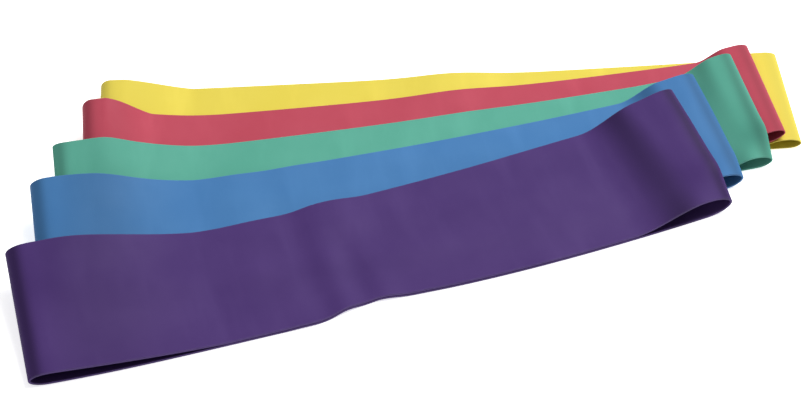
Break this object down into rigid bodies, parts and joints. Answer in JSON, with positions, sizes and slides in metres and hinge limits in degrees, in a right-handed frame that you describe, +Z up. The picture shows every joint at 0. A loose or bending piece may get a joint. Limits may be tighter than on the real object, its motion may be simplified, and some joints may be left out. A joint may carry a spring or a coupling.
{
  "type": "elastic exercise loop set",
  "caption": "Flat elastic latex exercise loops in graded colours, pressed flat and fanned out in a pile; each loop stretches and lifts off the pile.",
  "frame": {"origin": "centre of the pile's box, on the table it lies on", "axes": "+Z up, +X to the right along the pile, +Y to the back, towards the thinnest loop"},
  "size_m": [0.2793, 0.1684, 0.0217],
  "materials": {
    "yellow_latex": "satin",
    "red_latex": "satin",
    "green_latex": "satin",
    "blue_latex": "satin",
    "purple_latex": "satin"
  },
  "bodies": {
    "yellow_left": {"yellow_loop_left": "yellow_latex"},
    "yellow_right": {"yellow_loop_right": "yellow_latex"},
    "red_left": {"red_loop_left": "red_latex"},
    "red_right": {"red_loop_right": "red_latex"},
    "green_left": {"green_loop_left": "green_latex"},
    "green_right": {"green_loop_right": "green_latex"},
    "blue_left": {"blue_loop_left": "blue_latex"},
    "blue_right": {"blue_loop_right": "blue_latex"},
    "purple_left": {"purple_loop_left": "purple_latex"},
    "purple_right": {"purple_loop_right": "purple_latex"}
  },
  "joints": [
    {"name": "yellow_stretch", "type": "slide", "parent": "yellow_left", "child": "yellow_right", "axis": [0.8632, 0.0695, 0.5], "range_m": [0, 0.25], "stiffness_N_per_m": 102},
    {"name": "red_lift", "type": "slide", "parent": "yellow_right", "child": "red_left", "axis": [0, 0, 1], "range_m": [0, 0.08]},
    {"name": "red_stretch", "type": "slide", "parent": "red_left", "child": "red_right", "axis": [0.8554, 0.1355, 0.5], "range_m": [0, 0.25], "stiffness_N_per_m": 136},
    {"name": "green_lift", "type": "slide", "parent": "red_right", "child": "green_left", "axis": [0, 0, 1], "range_m": [0, 0.08]},
    {"name": "green_stretch", "type": "slide", "parent": "green_left", "child": "green_right", "axis": [0.848, 0.1756, 0.5], "range_m": [0, 0.25], "stiffness_N_per_m": 170},
    {"name": "blue_lift", "type": "slide", "parent": "green_right", "child": "blue_left", "axis": [0, 0, 1], "range_m": [0, 0.08]},
    {"name": "blue_stretch", "type": "slide", "parent": "blue_left", "child": "blue_right", "axis": [0.8381, 0.2183, 0.5], "range_m": [0, 0.25], "stiffness_N_per_m": 221},
    {"name": "purple_lift", "type": "slide", "parent": "blue_right", "child": "purple_left", "axis": [0, 0, 1], "range_m": [0, 0.08]},
    {"name": "purple_stretch", "type": "slide", "parent": "purple_left", "child": "purple_right", "axis": [0.8179, 0.2848, 0.5], "range_m": [0, 0.25], "stiffness_N_per_m": 272}
  ]
}
